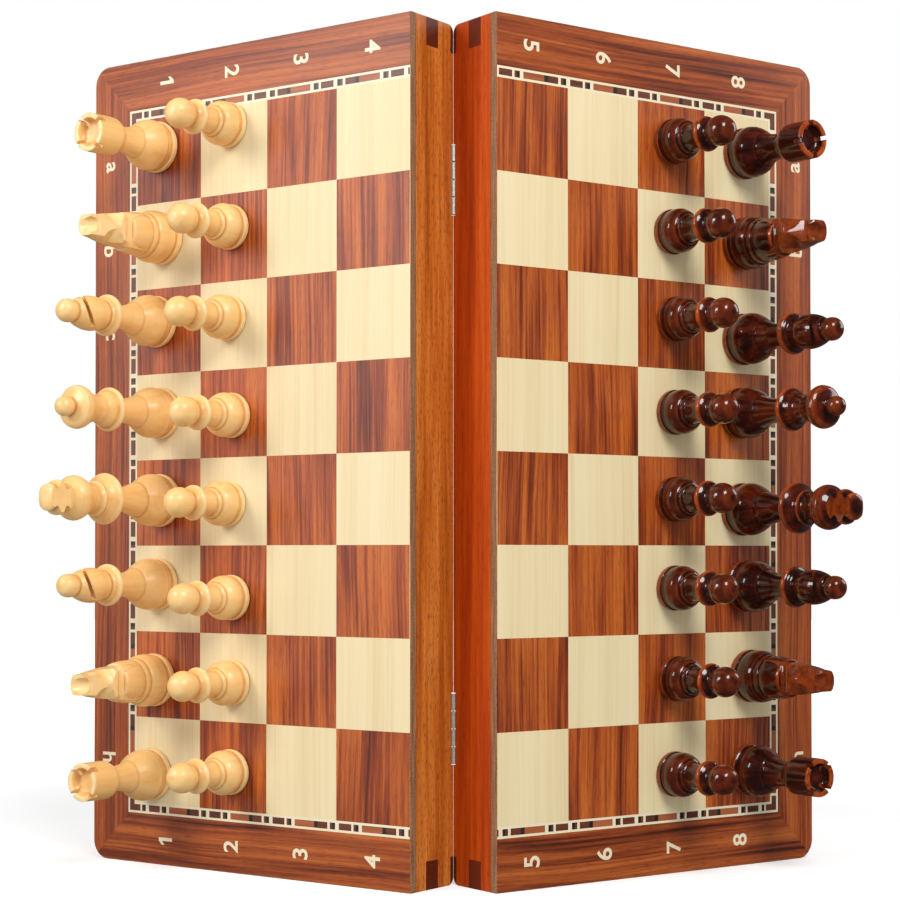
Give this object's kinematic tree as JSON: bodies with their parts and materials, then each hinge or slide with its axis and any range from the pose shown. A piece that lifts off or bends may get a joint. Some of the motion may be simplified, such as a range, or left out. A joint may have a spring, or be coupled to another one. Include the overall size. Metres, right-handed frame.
{
  "type": "folding magnetic chess set",
  "caption": "Folding wooden chess board of two hinged trays with inlaid playing faces and magnetic turned pieces standing on it in the opening position.",
  "frame": {"origin": "under the middle of the box of the resting set, on the plane of the h-file ends it stands on", "axes": "+Z along the hinge line from the h-file end to the a-file end, -Y out of the groove between the spine walls, and +X from the white half to the black half"},
  "size_m": [0.2921, 0.108, 0.3048],
  "materials": {
    "boxwood": "satin clear lacquer",
    "rosewood_lacquer": "glossy dark red-brown lacquer",
    "playing_veneer": "satin veneer, reddish brown with cream maple squares",
    "light_mahogany": "satin, open grained",
    "red_mahogany": "satin, smooth",
    "nickel": "pale nickel plate",
    "steel_sheet": "bare rolled sheet",
    "green_felt": "short napped felt"
  },
  "bodies": {
    "white_half": {"white_playing_panel": "playing_veneer", "white_spine_rail": "light_mahogany", "white_outer_rail": "light_mahogany", "white_h_end_rail": "light_mahogany", "white_a_end_rail": "light_mahogany", "white_steel_sheet": "steel_sheet", "white_felt_liner": "green_felt", "white_hinge_leaf_h": "nickel", "white_hinge_leaf_a": "nickel", "white_hinge_screw_h_lower": "nickel", "white_hinge_screw_h_upper": "nickel", "white_hinge_screw_a_lower": "nickel", "white_hinge_screw_a_upper": "nickel", "hinge_pin_h": "nickel", "hinge_pin_a": "nickel"},
    "black_half": {"black_playing_panel": "playing_veneer", "black_spine_rail": "red_mahogany", "black_outer_rail": "red_mahogany", "black_h_end_rail": "red_mahogany", "black_a_end_rail": "red_mahogany", "black_steel_sheet": "steel_sheet", "black_felt_liner": "green_felt", "black_hinge_leaf_h": "nickel", "black_hinge_leaf_a": "nickel", "black_hinge_screw_h_lower": "nickel", "black_hinge_screw_h_upper": "nickel", "black_hinge_screw_a_lower": "nickel", "black_hinge_screw_a_upper": "nickel"},
    "white_rook_a": {"white_rook_a": "boxwood"},
    "white_knight_b": {"white_knight_b": "boxwood"},
    "white_bishop_c": {"white_bishop_c": "boxwood"},
    "white_queen": {"white_queen": "boxwood"},
    "white_king": {"white_king": "boxwood"},
    "white_bishop_f": {"white_bishop_f": "boxwood"},
    "white_knight_g": {"white_knight_g": "boxwood"},
    "white_rook_h": {"white_rook_h": "boxwood"},
    "white_pawn_a": {"white_pawn_a": "boxwood"},
    "white_pawn_b": {"white_pawn_b": "boxwood"},
    "white_pawn_c": {"white_pawn_c": "boxwood"},
    "white_pawn_d": {"white_pawn_d": "boxwood"},
    "white_pawn_e": {"white_pawn_e": "boxwood"},
    "white_pawn_f": {"white_pawn_f": "boxwood"},
    "white_pawn_g": {"white_pawn_g": "boxwood"},
    "white_pawn_h": {"white_pawn_h": "boxwood"},
    "black_rook_a": {"black_rook_a": "rosewood_lacquer"},
    "black_knight_b": {"black_knight_b": "rosewood_lacquer"},
    "black_bishop_c": {"black_bishop_c": "rosewood_lacquer"},
    "black_queen": {"black_queen": "rosewood_lacquer"},
    "black_king": {"black_king": "rosewood_lacquer"},
    "black_bishop_f": {"black_bishop_f": "rosewood_lacquer"},
    "black_knight_g": {"black_knight_g": "rosewood_lacquer"},
    "black_rook_h": {"black_rook_h": "rosewood_lacquer"},
    "black_pawn_a": {"black_pawn_a": "rosewood_lacquer"},
    "black_pawn_b": {"black_pawn_b": "rosewood_lacquer"},
    "black_pawn_c": {"black_pawn_c": "rosewood_lacquer"},
    "black_pawn_d": {"black_pawn_d": "rosewood_lacquer"},
    "black_pawn_e": {"black_pawn_e": "rosewood_lacquer"},
    "black_pawn_f": {"black_pawn_f": "rosewood_lacquer"},
    "black_pawn_g": {"black_pawn_g": "rosewood_lacquer"},
    "black_pawn_h": {"black_pawn_h": "rosewood_lacquer"}
  },
  "joints": [
    {"name": "board_fold", "type": "hinge", "parent": "white_half", "child": "black_half", "pos_m": [0, -0.03352, 0], "axis": [0, 0, 1], "range_deg": [-71.4, 108.6]},
    {"name": "white_rook_a_lift", "type": "slide", "parent": "white_half", "child": "white_rook_a", "axis": [-0.5835, -0.8121, 0], "range_m": [0, 0.05]},
    {"name": "white_knight_b_lift", "type": "slide", "parent": "white_half", "child": "white_knight_b", "axis": [-0.5835, -0.8121, 0], "range_m": [0, 0.053]},
    {"name": "white_bishop_c_lift", "type": "slide", "parent": "white_half", "child": "white_bishop_c", "axis": [-0.5835, -0.8121, 0], "range_m": [0, 0.066]},
    {"name": "white_queen_lift", "type": "slide", "parent": "white_half", "child": "white_queen", "axis": [-0.5835, -0.8121, 0], "range_m": [0, 0.067]},
    {"name": "white_king_lift", "type": "slide", "parent": "white_half", "child": "white_king", "axis": [-0.5835, -0.8121, 0], "range_m": [0, 0.072]},
    {"name": "white_bishop_f_lift", "type": "slide", "parent": "white_half", "child": "white_bishop_f", "axis": [-0.5835, -0.8121, 0], "range_m": [0, 0.066]},
    {"name": "white_knight_g_lift", "type": "slide", "parent": "white_half", "child": "white_knight_g", "axis": [-0.5835, -0.8121, 0], "range_m": [0, 0.053]},
    {"name": "white_rook_h_lift", "type": "slide", "parent": "white_half", "child": "white_rook_h", "axis": [-0.5835, -0.8121, 0], "range_m": [0, 0.05]},
    {"name": "white_pawn_a_lift", "type": "slide", "parent": "white_half", "child": "white_pawn_a", "axis": [-0.5835, -0.8121, 0], "range_m": [0, 0.043]},
    {"name": "white_pawn_b_lift", "type": "slide", "parent": "white_half", "child": "white_pawn_b", "axis": [-0.5835, -0.8121, 0], "range_m": [0, 0.043]},
    {"name": "white_pawn_c_lift", "type": "slide", "parent": "white_half", "child": "white_pawn_c", "axis": [-0.5835, -0.8121, 0], "range_m": [0, 0.043]},
    {"name": "white_pawn_d_lift", "type": "slide", "parent": "white_half", "child": "white_pawn_d", "axis": [-0.5835, -0.8121, 0], "range_m": [0, 0.043]},
    {"name": "white_pawn_e_lift", "type": "slide", "parent": "white_half", "child": "white_pawn_e", "axis": [-0.5835, -0.8121, 0], "range_m": [0, 0.043]},
    {"name": "white_pawn_f_lift", "type": "slide", "parent": "white_half", "child": "white_pawn_f", "axis": [-0.5835, -0.8121, 0], "range_m": [0, 0.043]},
    {"name": "white_pawn_g_lift", "type": "slide", "parent": "white_half", "child": "white_pawn_g", "axis": [-0.5835, -0.8121, 0], "range_m": [0, 0.043]},
    {"name": "white_pawn_h_lift", "type": "slide", "parent": "white_half", "child": "white_pawn_h", "axis": [-0.5835, -0.8121, 0], "range_m": [0, 0.043]},
    {"name": "black_rook_a_lift", "type": "slide", "parent": "black_half", "child": "black_rook_a", "axis": [0.5835, -0.8121, 0], "range_m": [0, 0.05]},
    {"name": "black_knight_b_lift", "type": "slide", "parent": "black_half", "child": "black_knight_b", "axis": [0.5835, -0.8121, 0], "range_m": [0, 0.053]},
    {"name": "black_bishop_c_lift", "type": "slide", "parent": "black_half", "child": "black_bishop_c", "axis": [0.5835, -0.8121, 0], "range_m": [0, 0.066]},
    {"name": "black_queen_lift", "type": "slide", "parent": "black_half", "child": "black_queen", "axis": [0.5835, -0.8121, 0], "range_m": [0, 0.067]},
    {"name": "black_king_lift", "type": "slide", "parent": "black_half", "child": "black_king", "axis": [0.5835, -0.8121, 0], "range_m": [0, 0.072]},
    {"name": "black_bishop_f_lift", "type": "slide", "parent": "black_half", "child": "black_bishop_f", "axis": [0.5835, -0.8121, 0], "range_m": [0, 0.066]},
    {"name": "black_knight_g_lift", "type": "slide", "parent": "black_half", "child": "black_knight_g", "axis": [0.5835, -0.8121, 0], "range_m": [0, 0.053]},
    {"name": "black_rook_h_lift", "type": "slide", "parent": "black_half", "child": "black_rook_h", "axis": [0.5835, -0.8121, 0], "range_m": [0, 0.05]},
    {"name": "black_pawn_a_lift", "type": "slide", "parent": "black_half", "child": "black_pawn_a", "axis": [0.5835, -0.8121, 0], "range_m": [0, 0.043]},
    {"name": "black_pawn_b_lift", "type": "slide", "parent": "black_half", "child": "black_pawn_b", "axis": [0.5835, -0.8121, 0], "range_m": [0, 0.043]},
    {"name": "black_pawn_c_lift", "type": "slide", "parent": "black_half", "child": "black_pawn_c", "axis": [0.5835, -0.8121, 0], "range_m": [0, 0.043]},
    {"name": "black_pawn_d_lift", "type": "slide", "parent": "black_half", "child": "black_pawn_d", "axis": [0.5835, -0.8121, 0], "range_m": [0, 0.043]},
    {"name": "black_pawn_e_lift", "type": "slide", "parent": "black_half", "child": "black_pawn_e", "axis": [0.5835, -0.8121, 0], "range_m": [0, 0.043]},
    {"name": "black_pawn_f_lift", "type": "slide", "parent": "black_half", "child": "black_pawn_f", "axis": [0.5835, -0.8121, 0], "range_m": [0, 0.043]},
    {"name": "black_pawn_g_lift", "type": "slide", "parent": "black_half", "child": "black_pawn_g", "axis": [0.5835, -0.8121, 0], "range_m": [0, 0.043]},
    {"name": "black_pawn_h_lift", "type": "slide", "parent": "black_half", "child": "black_pawn_h", "axis": [0.5835, -0.8121, 0], "range_m": [0, 0.043]}
  ]
}
